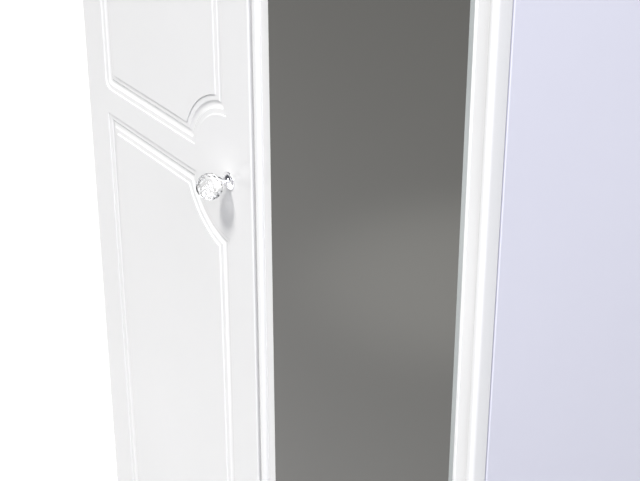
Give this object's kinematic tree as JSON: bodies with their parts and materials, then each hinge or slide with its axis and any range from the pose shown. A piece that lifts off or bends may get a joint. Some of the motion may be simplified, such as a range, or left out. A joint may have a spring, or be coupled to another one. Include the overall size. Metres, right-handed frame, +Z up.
{
  "type": "armoire",
  "caption": "Tall white gloss wardrobe with a routed left door and crystal knob, a full-length mirror door on the right, a hanging rail and a hat shelf.",
  "frame": {"origin": "on the floor, under the middle of the whole outline with the doors shut", "axes": "+Z up, -Y out of the doors, +X towards the mirror door's hinge side"},
  "size_m": [0.74, 0.5706, 1.97],
  "materials": {
    "carcass_board": "white melamine board, satin",
    "door_lacquer": "white foil-wrapped fibreboard, high gloss",
    "hardboard": "thin hardboard, raw brown outside",
    "white_plastic": "moulded white plastic",
    "chrome": "polished chrome plate",
    "hinge_steel": "nickel-plated pressed steel",
    "zinc_steel": "zinc-plated steel",
    "beech": "raw beech, fluted",
    "crystal": "cut clear crystal",
    "mirror_glass": "silvered float glass, polished edge",
    "white_sealant": "white mirror adhesive",
    "clear_rubber": "clear soft pads"
  },
  "bodies": {
    "carcass": {"side_left": "carcass_board", "side_right": "carcass_board", "top_panel": "carcass_board", "bottom_panel": "carcass_board", "hat_shelf": "carcass_board", "plinth": "carcass_board", "back_rail": "carcass_board", "back_panel_left": "hardboard", "back_panel_right": "hardboard", "back_joint_strip": "white_plastic", "back_nails": "zinc_steel", "hanging_rail": "chrome", "rail_socket_left": "chrome", "rail_socket_right": "chrome", "rail_screws": "zinc_steel", "cam_discs": "zinc_steel", "cam_bolts": "zinc_steel", "dowels": "beech", "plinth_blocks": "white_plastic", "block_screws": "zinc_steel", "floor_glides": "white_plastic", "hinge_screws": "zinc_steel", "left_hinge_plate_1": "hinge_steel", "left_hinge_plate_2": "hinge_steel", "left_hinge_plate_3": "hinge_steel", "left_hinge_plate_4": "hinge_steel", "left_hinge_arm_1": "hinge_steel", "left_hinge_arm_2": "hinge_steel", "left_hinge_arm_3": "hinge_steel", "left_hinge_arm_4": "hinge_steel", "right_hinge_plate_1": "hinge_steel", "right_hinge_plate_2": "hinge_steel", "right_hinge_plate_3": "hinge_steel", "right_hinge_plate_4": "hinge_steel", "right_hinge_arm_1": "hinge_steel", "right_hinge_arm_2": "hinge_steel", "right_hinge_arm_3": "hinge_steel", "right_hinge_arm_4": "hinge_steel"},
    "left_door": {"left_door_panel": "door_lacquer", "left_hinge_cup_1": "hinge_steel", "left_hinge_cup_2": "hinge_steel", "left_hinge_cup_3": "hinge_steel", "left_hinge_cup_4": "hinge_steel", "left_hinge_pins": "hinge_steel", "left_cup_screws": "zinc_steel", "left_door_bumpers": "clear_rubber", "knob_base": "chrome", "knob_crystal": "crystal", "knob_screw": "zinc_steel"},
    "mirror_door": {"mirror_door_panel": "door_lacquer", "right_hinge_cup_1": "hinge_steel", "right_hinge_cup_2": "hinge_steel", "right_hinge_cup_3": "hinge_steel", "right_hinge_cup_4": "hinge_steel", "right_hinge_pins": "hinge_steel", "right_cup_screws": "zinc_steel", "right_door_bumpers": "clear_rubber", "mirror_glass": "mirror_glass", "mirror_adhesive": "white_sealant"}
  },
  "joints": [
    {"name": "left_door_hinge", "type": "hinge", "parent": "carcass", "child": "left_door", "pos_m": [-0.3638, -0.23535, 1.025], "axis": [0, 0, -1], "range_deg": [0, 100]},
    {"name": "mirror_door_hinge", "type": "hinge", "parent": "carcass", "child": "mirror_door", "pos_m": [0.3638, -0.23535, 1.025], "axis": [0, 0, 1], "range_deg": [0, 100]}
  ]
}
